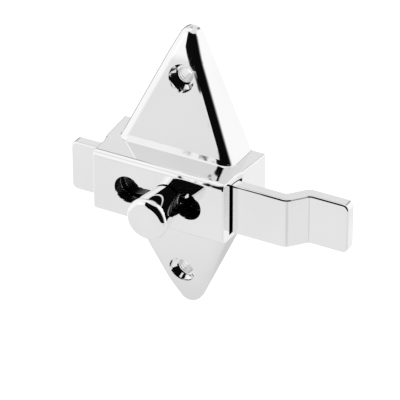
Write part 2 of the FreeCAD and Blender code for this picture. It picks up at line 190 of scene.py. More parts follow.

# %% [markdown]
# A place is then a few flat limits in millimetres, and a point belongs to it when it is inside them
# all. Each limit has a direction and how far the place reaches that way. The wedge narrows towards
# its tips and its face slopes, so two of the directions lean by those angles.

# %% Where the plating is thin, and where shade is painted
EDGE_LEAN = math.tan(math.radians(24.5))
FACE_LEAN = math.tan(math.radians(11.3))
HOLLOW = [((1, 0, EDGE_LEAN), 22.8),   # within the wedge's side walls
          ((0, 1, 0), 12.0),           # behind the floor of the channel
          ((0, 1, FACE_LEAN), 14.16),  # behind the wedge's sloping face
          ((0, 0, 1), 31.2),           # short of the fixing holes
          ((0, -1, 0), -0.3)]          # a little out from the rim that lies on the door
# the channel and the slot are the places that get painted shade
CHANNEL = [((1, 0, 0), 21.5),          # short of the two mouths
           ((0, 0, 1), 8.95),          # between the two long walls
           ((0, 1, 0), 20.3),          # behind the front wall
           ((0, -1, 0), -13.3)]        # in front of the floor
SLOT = [((1, 0, 0), 15.7),             # out to the round ends
        ((0, 0, 1), 4.95),             # as high as the round ends
        ((0, 1, 0), 23.7),             # short of the bridge's face
        ((0, -1, 0), -20.0)]           # inside the front wall


def how_deep(tree, folded, limits):
    """How far a point lies outside the limits, in metres, and below zero inside them."""
    worst = None
    for lean, limit in limits:
        along = add_node(tree, "ShaderNodeVectorMath", {0: folded, 1: lean}, operation="DOT_PRODUCT")
        past = add_node(tree, "ShaderNodeMath", {0: along.outputs["Value"], 1: limit * MM},
                        operation="SUBTRACT").outputs[0]
        worst = past if worst is None else add_node(
            tree, "ShaderNodeMath", {0: worst, 1: past}, operation="MAXIMUM").outputs[0]
    return worst


print(len(HOLLOW), "limits bound the hollow,", len(CHANNEL), "the channel and", len(SLOT), "the slot")

# %% [markdown]
# A hand holds the wedge to the wheel, and the wheel bites most where the wedge is narrow. So the
# face starts to fall off before its rounded edge, by a few hundredths of a millimetre, more near
# the tip and never evenly. That is what makes the black reflection along the edge run in and out.

# %% Edges softened by the wheel
OUTLINE = 25.4
SOFT_FROM, SOFT_TO = 5.5, 1.5   # how far inside the outline the fall starts and ends
SOFT_DROP = 0.045
TIP_FROM, TIP_TO = 28.0, 38.0   # the heights between which the tip's share grows
TIP_SHARE, PATCH_SHARE = 0.7, 0.7
SOFT_PATCH = 10.0


def soft_edge(tree, place, folded, height, normal):
    """The skin's normal, leaning outwards a little in front of the wedge's long edges."""
    across = add_node(tree, "ShaderNodeVectorMath", {0: folded, 1: (1, 0, EDGE_LEAN)},
                      operation="DOT_PRODUCT")
    near = add_node(tree, "ShaderNodeMapRange", {
        "Value": across.outputs["Value"], "From Min": (OUTLINE - SOFT_FROM) * MM,
        "From Max": (OUTLINE - SOFT_TO) * MM}, interpolation_type="SMOOTHSTEP")
    tip = add_node(tree, "ShaderNodeMapRange", {
        "Value": height, "From Min": TIP_FROM * MM, "From Max": TIP_TO * MM, "To Max": TIP_SHARE},
        interpolation_type="SMOOTHSTEP")
    share = add_node(tree, "ShaderNodeMath", {
        0: uneven(tree, place, SOFT_PATCH, 0.0, PATCH_SHARE), 1: tip.outputs[0]}, operation="ADD")
    fall = add_node(tree, "ShaderNodeMath", {0: near.outputs[0], 1: share.outputs[0]},
                    operation="MULTIPLY")
    return add_node(tree, "ShaderNodeBump", {
        "Strength": 1.0, "Distance": SOFT_DROP * MM, "Height": fall.outputs[0], "Normal": normal},
        invert=True).outputs[0]


print("the face falls off over", SOFT_FROM - SOFT_TO, "mm")

# %% [markdown]
# The fixing holes are drilled, and a drill leaves rings. The plating in there is thin, so a hole
# shows a light grey disc with faint rings. A point belongs to a bore when it is no further from the
# hole's axis than the hole's radius, with a hair to spare, and the record of the mount says where
# the holes are and how wide. The rings are drawn about a millimetre apart, coarser than a drill's
# feed, so that they show at all.

# %% Drilled holes
holes = next(mount["dims"] for mount in frame["record"]["mounts"] if mount["name"] == "fixing_holes")
DRILL_RING = 1.1
RING_HEIGHT = 0.035
BORE_FROM, BORE_TO = 0.05, 0.1  # how far past its radius a bore's finish starts to fade and ends


def in_bore(tree, folded):
    """One in the bores of the fixing holes and nought outside."""
    flat = add_node(tree, "ShaderNodeVectorMath", {0: folded, 1: (1.0, 0.0, 1.0)}, operation="MULTIPLY")
    away = add_node(tree, "ShaderNodeVectorMath", {
        0: flat.outputs[0], 1: (0.0, 0.0, holes["spacing_y_mm"] / 2 * MM)}, operation="DISTANCE")
    return add_node(tree, "ShaderNodeMapRange", {
        "Value": away.outputs["Value"], "From Min": (holes["hole_r_mm"] + BORE_TO) * MM,
        "From Max": (holes["hole_r_mm"] + BORE_FROM) * MM}).outputs[0]


def drill_rings(tree, depth, bore, normal):
    """The normal with rings in the bores."""
    turn = add_node(tree, "ShaderNodeMath", {
        0: depth, 1: 2 * math.pi * per_metre(DRILL_RING)}, operation="MULTIPLY")
    ring = add_node(tree, "ShaderNodeMath", {0: turn.outputs[0]}, operation="SINE")
    kept = add_node(tree, "ShaderNodeMath", {0: ring.outputs[0], 1: bore}, operation="MULTIPLY")
    return add_node(tree, "ShaderNodeBump", {
        "Strength": 1.0, "Distance": RING_HEIGHT * MM, "Height": kept.outputs[0],
        "Normal": normal}).outputs[0]


print("holes", holes["spacing_y_mm"], "mm apart, bore radius", holes["hole_r_mm"], "mm")

# %% [markdown]
# How thin the plating is, is one number from nought to one, and the colour and the roughness both
# follow it. Chrome comes out almost white and a mirror. A thin flash over zinc is mid grey, and in
# the channel and the slot it is darkened further, as painted shade in those recesses. Both are
# dull, in fine grains.

# %% Colours of the casting
CHROME, CHROME_COOL = "f7f7f7", "f2f2f3"
# the darker grey is the thin flash with painted shade, for the channel and the slot
THIN_FLASH, FLASH_WITH_PAINTED_SHADE = "9b9c9f", "2e2f31"
CASTING_TINT = 30.0
HOLLOW_FADE, PAINTED_SHADE_FADE = 2.5, 0.3
BORE_GREY = 0.22


def casting_colours(tree, place, folded, bore):
    """The casting's colour, with painted shade in the channel and the slot, and how thin its plating
    is.
    """
    hollow = add_node(tree, "ShaderNodeMapRange", {
        "Value": how_deep(tree, folded, HOLLOW), "From Min": 0.0, "From Max": -HOLLOW_FADE * MM})
    # the channel and the slot are darkened here with painted shade
    nearest = add_node(tree, "ShaderNodeMath", {
        0: how_deep(tree, folded, CHANNEL), 1: how_deep(tree, folded, SLOT)}, operation="MINIMUM")
    painted_shade = add_node(tree, "ShaderNodeMapRange", {
        "Value": nearest.outputs[0], "From Min": 0.0, "From Max": -PAINTED_SHADE_FADE * MM})
    greyed = add_node(tree, "ShaderNodeMath", {0: bore, 1: BORE_GREY}, operation="MULTIPLY")
    flash = add_node(tree, "ShaderNodeMath", {0: hollow.outputs[0], 1: greyed.outputs[0]},
                     operation="MAXIMUM")
    flashed = add_node(tree, "ShaderNodeMix", {
        "Factor": flash.outputs[0], 6: uneven_tint(tree, place, CASTING_TINT, CHROME, CHROME_COOL),
        7: linear(THIN_FLASH)}, data_type="RGBA")
    colour = add_node(tree, "ShaderNodeMix", {
        "Factor": painted_shade.outputs[0], 6: flashed.outputs[2], 7: linear(FLASH_WITH_PAINTED_SHADE)}, data_type="RGBA")
    thin = add_node(tree, "ShaderNodeMath", {0: flash.outputs[0], 1: painted_shade.outputs[0]},
                    operation="MAXIMUM")
    return colour.outputs[2], thin.outputs[0]


print("chrome", CHROME, "thin flash", THIN_FLASH, "in the shade", FLASH_WITH_PAINTED_SHADE)

# %% [markdown]
# The casting's finish puts all of this together. Its normal is worked on three times: by the
# wheel's waves, by the softened edges and by the drill's rings. The plating carries a faint haze,
# in patches of 4 mm, which a low roughness gives. The index of refraction is left alone, because a
# metal's colour already says how much it reflects.

# %% Chrome on the casting
HAZE = 4.0
HAZE_LOW, HAZE_HIGH = 0.015, 0.035
GRAIN = 1.2
DULL_LOW, DULL_HIGH = 0.3, 0.5


def chrome_on_casting():
    """Bright chrome that turns thin in the hollows, has painted shade in the channel and the slot, and
    shows the wheel and the drill.
    """
    material, tree, place = begin_finish("bright_chrome_on_polished_zinc_casting")
    folded, depth, height = fold(tree, place)
    bore = in_bore(tree, folded)
    colour, thin = casting_colours(tree, place, folded, bore)
    haze = add_node(tree, "ShaderNodeMix", {
        "Factor": thin, 2: uneven(tree, place, HAZE, HAZE_LOW, HAZE_HIGH),
        3: uneven(tree, place, GRAIN, DULL_LOW, DULL_HIGH)}, data_type="FLOAT")
    waved = polished_skin(tree, place, WAVE, WAVE_HEIGHT)
    softened = soft_edge(tree, place, folded, height, waved)
    drilled = drill_rings(tree, depth, bore, softened)
    shader = add_node(tree, "ShaderNodeBsdfPrincipled", {
        "Base Color": colour, "Metallic": 1.0, "Roughness": haze.outputs[0], "Normal": drilled})
    add_node(tree, "ShaderNodeOutputMaterial", {"Surface": shader.outputs[0]})
    return material


frame["nodes"]["housing"].material_slots[0].material = chrome_on_casting()
print("housing:", frame["nodes"]["housing"].material_slots[0].material.name)

# %% [markdown]
# The bolt is a strip of cold-rolled steel, cut, bent and polished along its length before it is
# plated. Its faces are flatter than the casting's, so its ripples are longer and lower, and under
# the chrome the belt's long scratches still show faintly. Noise drawn out along the strip makes
# them, half a millimetre wide, which is coarser than the real ones so that they show at all.

# %% Chrome on the bolt
BAR_WAVE, BAR_WAVE_HEIGHT = 12.0, 0.03
BELT_LENGTH, BELT_LINE = 25.0, 0.5
SCRATCH_HEIGHT = 0.0008
SCRATCH_LOW, SCRATCH_HIGH = 0.35, 0.75
BAR_HAZE_LOW, BAR_HAZE_HIGH = 0.012, 0.04
BAR_TINT = 25.0


def long_lines(tree, place, length_mm, width_mm, detail):
    """Noise drawn out into lines along the strip."""
    stretched = add_node(tree, "ShaderNodeMapping", {
        "Vector": place, "Scale": (per_metre(length_mm), per_metre(width_mm), per_metre(width_mm))})
    return add_node(tree, "ShaderNodeTexNoise", {
        "Vector": stretched.outputs[0], "Scale": 1.0, "Detail": detail}).outputs[0]


def chrome_on_bar():
    """Bright chrome over the long scratches of a belt."""
    material, tree, place = begin_finish("bright_chrome_on_belt_polished_steel")
    belt = long_lines(tree, place, BELT_LENGTH, BELT_LINE, 2.0)
    scratched = add_node(tree, "ShaderNodeBump", {
        "Strength": 1.0, "Distance": SCRATCH_HEIGHT * MM, "Height": belt,
        "Normal": polished_skin(tree, place, BAR_WAVE, BAR_WAVE_HEIGHT)})
    worn = add_node(tree, "ShaderNodeMapRange", {
        "Value": belt, "From Min": SCRATCH_LOW, "From Max": SCRATCH_HIGH,
        "To Min": BAR_HAZE_LOW, "To Max": BAR_HAZE_HIGH})
    shader = add_node(tree, "ShaderNodeBsdfPrincipled", {
        "Base Color": uneven_tint(tree, place, BAR_TINT, CHROME, CHROME_COOL), "Metallic": 1.0,
        "Roughness": worn.outputs[0], "Normal": scratched.outputs[0]})
    add_node(tree, "ShaderNodeOutputMaterial", {"Surface": shader.outputs[0]})
    return material


frame["nodes"]["bolt"].material_slots[0].material = chrome_on_bar()
print("bolt:", frame["nodes"]["bolt"].material_slots[0].material.name)

# %% [markdown]
# The knob is turned on a lathe, so what is left under its plating runs in rings round its axis. A
# ring pattern needs only the distance from that axis, which stands at right angles to the door.
# The rings are drawn 0.4 mm apart, coarser than a real tool's feed, so that they show at all. They
# are only a fraction of a thousandth of a millimetre high, and just soften what the knob mirrors.

# %% Chrome on the knob
KNOB_WAVE, KNOB_WAVE_HEIGHT = 6.0, 0.015
TOOL_RING, TOOL_RING_HEIGHT = 0.4, 0.0001
KNOB_HAZE_LOW, KNOB_HAZE_HIGH = 0.012, 0.03
KNOB_TINT = 8.0


def chrome_on_knob():
    """Bright chrome over the rings of a turning tool."""
    material, tree, place = begin_finish("bright_chrome_on_turned_zinc")
    low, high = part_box("knob")
    centred = add_node(tree, "ShaderNodeMapping", {"Vector": place, "Location": -(low + high) / 2})
    flat = add_node(tree, "ShaderNodeVectorMath", {0: centred.outputs[0], 1: (1.0, 0.0, 1.0)},
                    operation="MULTIPLY")
    radius = add_node(tree, "ShaderNodeVectorMath", {0: flat.outputs[0]}, operation="LENGTH")
    turn = add_node(tree, "ShaderNodeMath", {
        0: radius.outputs["Value"], 1: 2 * math.pi * per_metre(TOOL_RING)}, operation="MULTIPLY")
    ring = add_node(tree, "ShaderNodeMath", {0: turn.outputs[0]}, operation="SINE")
    rings = add_node(tree, "ShaderNodeBump", {
        "Strength": 1.0, "Distance": TOOL_RING_HEIGHT * MM, "Height": ring.outputs[0],
        "Normal": polished_skin(tree, place, KNOB_WAVE, KNOB_WAVE_HEIGHT)})
    shader = add_node(tree, "ShaderNodeBsdfPrincipled", {
        "Base Color": uneven_tint(tree, place, KNOB_TINT, CHROME, CHROME_COOL), "Metallic": 1.0,
        "Roughness": uneven(tree, place, HAZE, KNOB_HAZE_LOW, KNOB_HAZE_HIGH),
        "Normal": rings.outputs[0]})
    add_node(tree, "ShaderNodeOutputMaterial", {"Surface": shader.outputs[0]})
    return material


frame["nodes"]["knob"].material_slots[0].material = chrome_on_knob()
print("knob:", frame["nodes"]["knob"].material_slots[0].material.name)

# %% [markdown]
# The leaf spring behind the bolt is a strip of hardened steel, tempered to a dark straw-blue and
# left bare. It is satin rather than bright, with the fine lines of cold rolling along it and a
# tint that wanders from brown to blue as the heat did. The lines are drawn 0.3 mm wide, which is
# coarser than the real ones, so that they show at all.

# %% Tempered spring steel
STRAW_BROWN, TEMPER_BLUE = "6b6660", "5c626c"
ROLLED_LENGTH, ROLLED_LINE = 12.0, 0.3
ROLLED_HEIGHT = 0.002
SATIN_LOW, SATIN_HIGH = 0.28, 0.42
TEMPER_PATCH = 7.0


def tempered_steel():
    """Satin steel with rolling lines and temper colours."""
    material, tree, place = begin_finish("tempered_cold_rolled_spring_steel")
    rolled = long_lines(tree, place, ROLLED_LENGTH, ROLLED_LINE, 3.0)
    grain = add_node(tree, "ShaderNodeBump", {
        "Strength": 1.0, "Distance": ROLLED_HEIGHT * MM, "Height": rolled})
    satin = add_node(tree, "ShaderNodeMapRange", {
        "Value": rolled, "From Min": NOISE_LOW, "From Max": NOISE_HIGH,
        "To Min": SATIN_LOW, "To Max": SATIN_HIGH})
    shader = add_node(tree, "ShaderNodeBsdfPrincipled", {
        "Base Color": uneven_tint(tree, place, TEMPER_PATCH, STRAW_BROWN, TEMPER_BLUE),
        "Metallic": 1.0, "Roughness": satin.outputs[0], "Normal": grain.outputs[0]})
    add_node(tree, "ShaderNodeOutputMaterial", {"Surface": shader.outputs[0]})
    return material


frame["nodes"]["leaf_spring"].material_slots[0].material = tempered_steel()
print("leaf spring:", frame["nodes"]["leaf_spring"].material_slots[0].material.name)

# %% [markdown]
# One steel screw holds the knob from behind, through the bolt. The frame has it as plain cylinders.
# A real one has a rolled thread and a low round head with a cross in it, which shows through the
# access hole in the casting's back. It gets a zinc finish: pale, a little blue and satin, because
# the bath leaves fine pits. They are drawn 0.35 mm wide, coarser than real ones, to show at all.

# %% Zinc plate on the screw
ZINC_PALE, ZINC_BLUE = "b9bab8", "a9afb6"
PIT, PIT_DEPTH = 0.35, 0.004
ZINC_TINT, ZINC_PATCH = 2.0, 1.0
ZINC_DULL_LOW, ZINC_DULL_HIGH = 0.24, 0.36


def zinc_plate():
    """Pale satin zinc with fine pits."""
    material, tree, place = begin_finish("clear_zinc_plate_on_rolled_steel")
    grit = add_node(tree, "ShaderNodeTexNoise", {
        "Vector": place, "Scale": per_metre(PIT), "Detail": 3.0})
    pits = add_node(tree, "ShaderNodeBump", {
        "Strength": 1.0, "Distance": PIT_DEPTH * MM, "Height": grit.outputs[0]})
    shader = add_node(tree, "ShaderNodeBsdfPrincipled", {
        "Base Color": uneven_tint(tree, place, ZINC_TINT, ZINC_PALE, ZINC_BLUE), "Metallic": 1.0,
        "Roughness": uneven(tree, place, ZINC_PATCH, ZINC_DULL_LOW, ZINC_DULL_HIGH),
        "Normal": pits.outputs[0]})
    add_node(tree, "ShaderNodeOutputMaterial", {"Surface": shader.outputs[0]})
    return material


zinc = zinc_plate()
print("screw:", zinc.name)

# %% [markdown]
# A thread follows a rule, so Geometry Nodes can make it: a flat sheet of points is rolled into a
# tube, and each point's distance from the axis depends on how far along and how far round it is.
# That gives one closed skin, where a coiled ridge laid on a rod would leave two that overlap. The
# rule is a recipe of small sums. Each line names a number and says how it is worked out, and from
# what: a plain number, one of the tree's inputs, or a number from an earlier line.

# %% The thread as a recipe
CREST_HALF, ROOT_HALF = 0.08, 0.42


def thread_recipe(rows):
    """The sums that turn a point of the flat sheet into a point of the thread."""
    last = rows - 1.0
    return [
        ("turn", "ADD", "sheet across", 0.5),
        ("row", "MULTIPLY_ADD", "sheet along", rows + 1.0, (rows + 1.0) / 2),
        ("row inwards", "SUBTRACT", "row", 1.0),
        ("row from first", "MAXIMUM", "row inwards", 0.0),
        ("row to last", "MINIMUM", "row from first", last),
        ("share", "DIVIDE", "row to last", last),
        ("along", "MULTIPLY", "share", "Length"),
        ("turns", "DIVIDE", "along", "Pitch"),
        ("left over", "SUBTRACT", "Length", "along"),
        ("turns left", "DIVIDE", "left over", "Pitch"),
        ("lag", "SUBTRACT", "turns", "turn"),
        ("lag above zero", "ADD", "lag", 1.0),
        ("phase", "FRACT", "lag above zero"),
        ("beside crest", "SUBTRACT", "phase", 0.5),
        ("from crest", "ABSOLUTE", "beside crest"),
        ("from root", "SUBTRACT", "from crest", ROOT_HALF),
        ("flank", "DIVIDE", "from root", CREST_HALF - ROOT_HALF),
        ("above root", "MAXIMUM", "flank", 0.0),
        ("ridge", "MINIMUM", "above root", 1.0),
        ("nearer end", "MINIMUM", "turns", "turns left"),
        ("fade", "MINIMUM", "nearer end", 1.0),
        ("faded ridge", "MULTIPLY", "ridge", "fade"),
        ("thread height", "SUBTRACT", "Outer Radius", "Root Radius"),
        ("tall", "MULTIPLY", "thread height", "faded ridge"),
        ("tube radius", "ADD", "tall", "Root Radius"),
        ("past first", "GREATER_THAN", "row", 0.5),
        ("before last", "LESS_THAN", "row", rows + 0.5),
        ("open", "MULTIPLY", "past first", "before last"),
        ("radius", "MULTIPLY", "tube radius", "open"),
        ("angle", "MULTIPLY", "turn", 2 * math.pi),
        ("cosine", "COSINE", "angle"),
        ("sine", "SINE", "angle"),
        ("X", "MULTIPLY_ADD", "radius", "cosine", "Across"),
        ("depth", "ADD", "along", "Start Depth"),
        ("Y", "MULTIPLY", "depth", -1.0),
        ("Z", "MULTIPLY_ADD", "radius", "sine", "Up"),
    ]


print("a thread takes", len(thread_recipe(10)), "sums a point")

# %% [markdown]
# The tree itself is short. A grid gives the sheet, a loop turns the recipe into nodes, and Set
# Position moves the points. The first and last rows close on the axis, and Merge by Distance sews
# the seam. The sizes are inputs of the tree, so that one tree could make any thread.

# %% The thread as a node tree
AROUND = 36
SIZES = ("Pitch", "Length", "Outer Radius", "Root Radius", "Start Depth", "Across", "Up")
SEAM = 0.001


def thread_tree(finish, rows):
    """A node tree that rolls a flat sheet into a thread with this many rows of points."""
    tree = bpy.data.node_groups.new("rolled_thread", "GeometryNodeTree")
    for name in SIZES:
        tree.interface.new_socket(name, in_out="INPUT", socket_type="NodeSocketFloat")
    tree.interface.new_socket("Geometry", in_out="OUTPUT", socket_type="NodeSocketGeometry")
    sizes = add_node(tree, "NodeGroupInput").outputs
    sheet = add_node(tree, "GeometryNodeMeshGrid", {
        "Size X": 1.0, "Size Y": 1.0, "Vertices X": AROUND + 1, "Vertices Y": rows + 2})
    position = add_node(tree, "GeometryNodeInputPosition")
    spot = add_node(tree, "ShaderNodeSeparateXYZ", {0: position.outputs[0]}).outputs
    numbers = {name: sizes[name] for name in SIZES}
    numbers.update({"sheet across": spot["X"], "sheet along": spot["Y"]})
    for name, operation, *parts in thread_recipe(rows):
        known = {i: numbers.get(part, part) for i, part in enumerate(parts)}
        numbers[name] = add_node(tree, "ShaderNodeMath", known, operation=operation).outputs[0]
    point = add_node(tree, "ShaderNodeCombineXYZ", {axis: numbers[axis] for axis in "XYZ"})
    rolled = add_node(tree, "GeometryNodeSetPosition", {
        "Geometry": sheet.outputs["Mesh"], "Position": point.outputs[0]})
    sewn = add_node(tree, "GeometryNodeMergeByDistance", {
        "Geometry": rolled.outputs[0], "Distance": SEAM * MM})
    real = add_node(tree, "GeometryNodeRealizeInstances", {"Geometry": sewn.outputs[0]})
    dressed = add_node(tree, "GeometryNodeSetMaterial", {
        "Geometry": real.outputs[0], "Material": finish})
    add_node(tree, "NodeGroupOutput", {0: dressed.outputs[0]})
    return tree


print("inputs of the thread:", ", ".join(SIZES))

# %% [markdown]
# The frame says where the screw is and how wide its head is. The thread runs from under the head to
# the tip, one turn every 0.8 mm, and it fades out over its first and last turn. The modifier's
# inputs are set by their sockets' identifiers, and then the shape is baked into a plain mesh.

# %% Make the thread
PITCH = 0.8
ROWS_PER_TURN = 10
HEAD_HEIGHT = 0.8
screw_low, screw_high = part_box("knob_screw")
head_radius = (screw_high.x - screw_low.x) / 2 / MM
across = (screw_high.x + screw_low.x) / 2 / MM
above = (screw_high.z + screw_low.z) / 2 / MM
head_back = -screw_high.y / MM
bearing = head_back + HEAD_HEIGHT
length = -screw_low.y / MM - bearing
THREAD = {"Pitch": PITCH, "Length": length, "Outer Radius": 1.95, "Root Radius": 1.6,
          "Start Depth": bearing, "Across": across, "Up": above}


def bake(thing):
    """Leaves the thing with its finished shape as a plain mesh, and with no modifier."""
    graph = bpy.context.evaluated_depsgraph_get()
    mesh = bpy.data.meshes.new_from_object(thing.evaluated_get(graph))
    thing.modifiers.clear()
    thing.data = mesh


shank = bpy.data.objects.new("shank", bpy.data.meshes.new("shank"))
bpy.context.scene.collection.objects.link(shank)
modifier = shank.modifiers.new("thread", "NODES")
modifier.node_group = thread_tree(zinc, round(length / PITCH * ROWS_PER_TURN))
for socket in modifier.node_group.interface.items_tree:
    if socket.in_out == "INPUT":
        modifier[socket.identifier] = THREAD[socket.name] * MM
bake(shank)
print("thread:", len(shank.data.polygons), "faces,", round(length, 2), "mm long")

# %% [markdown]
# The head is a solid of revolution, so it is made as a lathe would make it: a profile is spun round
# the screw's axis. Its outside is a low dome with a small edge under it, and its inside end is a
# neck that runs a little way into the thread, so that the two can be joined as one closed skin.

# %% Spin the head
HEAD_SIDES = 64
NECK_RADIUS, NECK_END, NECK_LENGTH = 1.75, 1.55, 0.3
EDGE_BREAK = 0.05
DOME = [(0.0, 0.0), (0.55, 0.02), (0.8, 0.14), (0.94, 0.34), (1.0, 0.6)]
HEAD_PROFILE = [(head_radius * share, head_back + drop) for share, drop in DOME]
HEAD_PROFILE += [(head_radius, bearing - EDGE_BREAK), (head_radius - EDGE_BREAK, bearing),
                 (NECK_RADIUS, bearing), (NECK_END, bearing + NECK_LENGTH),
                 (0.0, bearing + NECK_LENGTH)]


def closed_mesh(name, build):
    """A piece whose bmesh is filled in by build, with its doubles merged and its faces outwards."""
    shape = bmesh.new()
    build(shape)
    bmesh.ops.remove_doubles(shape, verts=shape.verts, dist=SEAM * MM)
    bmesh.ops.recalc_face_normals(shape, faces=shape.faces)
    mesh = bpy.data.meshes.new(name)
    shape.to_mesh(mesh)
    shape.free()
    piece = bpy.data.objects.new(name, mesh)
    bpy.context.scene.collection.objects.link(piece)
    return piece


def spin_profile(shape):
    """The head's profile, spun round the axis of the screw."""
    corners = [shape.verts.new(((across + radius) * MM, -depth * MM, above * MM))
               for radius, depth in HEAD_PROFILE]
    edges = [shape.edges.new(pair) for pair in zip(corners, corners[1:])]
    bmesh.ops.spin(shape, geom=corners + edges, cent=(across * MM, 0, above * MM), axis=(0, 1, 0),
                   angle=2 * math.pi, steps=HEAD_SIDES, use_duplicate=False)


head = closed_mesh("head", spin_profile)
print("head:", len(head.data.vertices), "corners, radius", round(head_radius, 2), "mm")

# %% [markdown]
# The cross is pressed in by a punch with two tapered wings. Booleans do the same: the thread is
# joined to the head first, and then each wing is taken out. The other way round the joined thread
# would fill the bottom of the cross again.

# %% Punch the cross
CROSS_REACH, CROSS_WIDTH = 2.014, 0.52
FLOOR_REACH, FLOOR_WIDTH = 0.7, 0.28
CROSS_DEPTH = 1.6
PUNCH_START = 0.1


def tapered_wing(shape, turned):
    """One wing of the punch, a block that narrows towards the floor of the cross."""
    rings = []
    for reach, width, depth in ((CROSS_REACH, CROSS_WIDTH, head_back - PUNCH_START),
                                (FLOOR_REACH, FLOOR_WIDTH, head_back + CROSS_DEPTH)):
        flat = [(reach, width), (-reach, width), (-reach, -width), (reach, -width)]
        corners = [(b, a) if turned else (a, b) for a, b in flat]
        rings.append([shape.verts.new(((across + a) * MM, -depth * MM, (above + b) * MM))
                      for a, b in corners])
    shape.faces.new(rings[0])
    shape.faces.new(rings[1][::-1])
    for i in range(4):
        shape.faces.new((rings[0][i], rings[1][i], rings[1][i - 3], rings[0][i - 3]))


def combine(piece, tool, operation):
    """Cuts the tool out of the piece, or joins it on, and removes the tool."""
    boolean = piece.modifiers.new(operation, "BOOLEAN")
    boolean.operation = operation
    boolean.solver = "EXACT"
    boolean.object = tool
    bpy.context.view_layer.update()
    bake(piece)
    bpy.data.objects.remove(tool)


combine(head, shank, "UNION")
for turned in (False, True):
    combine(head, closed_mesh("wing", lambda shape: tapered_wing(shape, turned)), "DIFFERENCE")
print("head, thread and cross:", len(head.data.polygons), "faces")

# %% [markdown]
# The finished screw stands for the frame's plain one. It rides on the bolt's body, because it holds
# the knob there, and it takes the zinc finish made above.

# %% Put the screw in
screw = head
screw.name = screw.data.name = "threaded_knob_screw"
screw.data.materials.clear()
screw.data.materials.append(zinc)
screw.data.shade_flat()
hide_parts("knob_screw")
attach(screw, "sliding_bolt")
print("screw:", len(screw.data.polygons), "faces")

# %% [markdown]
# The latch stands on a plain pale floor. Chrome shows its room, so the floor is in two sheets: the
# camera sees a wide one, bright enough to be white, and the chrome sees a smaller card that glows.
# Both are matt paper with a glow added to it. The wide sheet has the same glow all over.

# %% Floor
FLOOR_DROP = 2 * MM
floor_level = cad_box[0][2] - FLOOR_DROP
ROOM_RADIUS = 4.0
CARD_SIDES = 96
FLOOR_WHITE, FLOOR_GLOW = "c0c0c0", 0.9


def round_card(name, radius, level):
    """A flat round sheet of paper at this level."""
    turns = [2 * math.pi * i / CARD_SIDES for i in range(CARD_SIDES)]
    mesh = bpy.data.meshes.new(name)
    mesh.from_pydata([(radius * math.cos(turn), radius * math.sin(turn), level) for turn in turns],
                     [], [tuple(range(CARD_SIDES))])
    card = bpy.data.objects.new(name, mesh)
    bpy.context.scene.collection.objects.link(card)
    return card


def paper(name, white, glow):
    """Matt paper that also glows; glow makes the strength from the tree and its coordinates."""
    material, tree, place = begin_finish(name)
    paint = add_node(tree, "ShaderNodeBsdfDiffuse", {"Color": linear(white)})
    shine = add_node(tree, "ShaderNodeEmission", {
        "Color": linear("ffffff"), "Strength": glow(tree, place)})
    both = add_node(tree, "ShaderNodeAddShader", {0: paint.outputs[0], 1: shine.outputs[0]})
    add_node(tree, "ShaderNodeOutputMaterial", {"Surface": both.outputs[0]})
    return material


floor = round_card("floor", ROOM_RADIUS, floor_level)
floor.data.materials.append(paper("white_studio_paper", FLOOR_WHITE, lambda tree, place: FLOOR_GLOW))
floor.visible_glossy = False
print("floor at", round(floor_level / MM, 1), "mm")

# %% [markdown]
# The camera looks down on the latch, so the faces that stand upright or look down mirror the card
# under it. An even card would make them dead flat, so soft round patches are added to its glow:
# darker under the part, as a table is in a part's own shade, darker far behind on the left and in
# front on the right, and brighter on the left and behind on the right, where the tent's sides come
# down to it.

# %% The glowing card
CARD_RADIUS = 165 * MM
CARD_GREY = "606060"
CARD_GLOW = 0.69
CARD_DROP = 1 * MM
# centre, full radius and outer radius in millimetres, and how much the glow changes
CARD_PATCHES = [((0, 12), 8, 60, -0.1),
                ((8, 42), 12, 40, -0.12),
                ((-125, -5), 30, 62, 0.22),
                ((66, 67), 25, 55, 0.1),
                ((-85, 105), 20, 60, -0.4),
                ((93, -91), 10, 34, -0.15),
                ((125, -35), 15, 45, -0.02)]


def card_glow(tree, place):
    """The card's even glow with its round patches added."""
    level = add_node(tree, "ShaderNodeVectorMath", {0: place, 1: (1.0, 1.0, 0.0)},
                     operation="MULTIPLY")
    glow = CARD_GLOW
    for (x, y), full, none, change in CARD_PATCHES:
        away = add_node(tree, "ShaderNodeVectorMath", {
            0: level.outputs[0], 1: (x * MM, y * MM, 0.0)}, operation="DISTANCE")
        patch = add_node(tree, "ShaderNodeMapRange", {
            "Value": away.outputs["Value"], "From Min": none * MM, "From Max": full * MM,
            "To Max": change}, interpolation_type="SMOOTHSTEP")
        glow = add_node(tree, "ShaderNodeMath", {0: patch.outputs[0], 1: glow},
                        operation="ADD").outputs[0]
    return glow


table = round_card("table_card", CARD_RADIUS, floor_level - CARD_DROP)
table.data.materials.append(paper("glowing_table_paper", CARD_GREY, card_glow))
table.visible_camera = False
print("card radius", round(CARD_RADIUS / MM), "mm, with", len(CARD_PATCHES), "patches")

# %% [markdown]
# The light is a soft white tent, and it is the picture in the mirror. Lamps would show as small
# bright shapes in every face, so the tent is painted on the world instead, by direction. Straight
# ahead is out from the door. A direction is how many degrees it lies to the right of that, as
# somebody in front of the latch sees it, and how many above level.

# %% Directions in the tent
world = bpy.data.worlds.new("light_tent")
bpy.context.scene.world = world
world.use_nodes = True
tree = world.node_tree
tree.nodes.clear()
towards = add_node(tree, "ShaderNodeTexCoord").outputs["Generated"]
axes = add_node(tree, "ShaderNodeSeparateXYZ", {0: towards}).outputs


def direction(azimuth, elevation):
    """The unit vector that points so many degrees to the right of straight ahead, and up."""
    aside, up = math.radians(azimuth), math.radians(elevation)
    return Vector((math.sin(aside) * math.cos(up), -math.cos(aside) * math.cos(up), math.sin(up)))


print("straight ahead is", [round(part, 2) for part in direction(0, 0)])

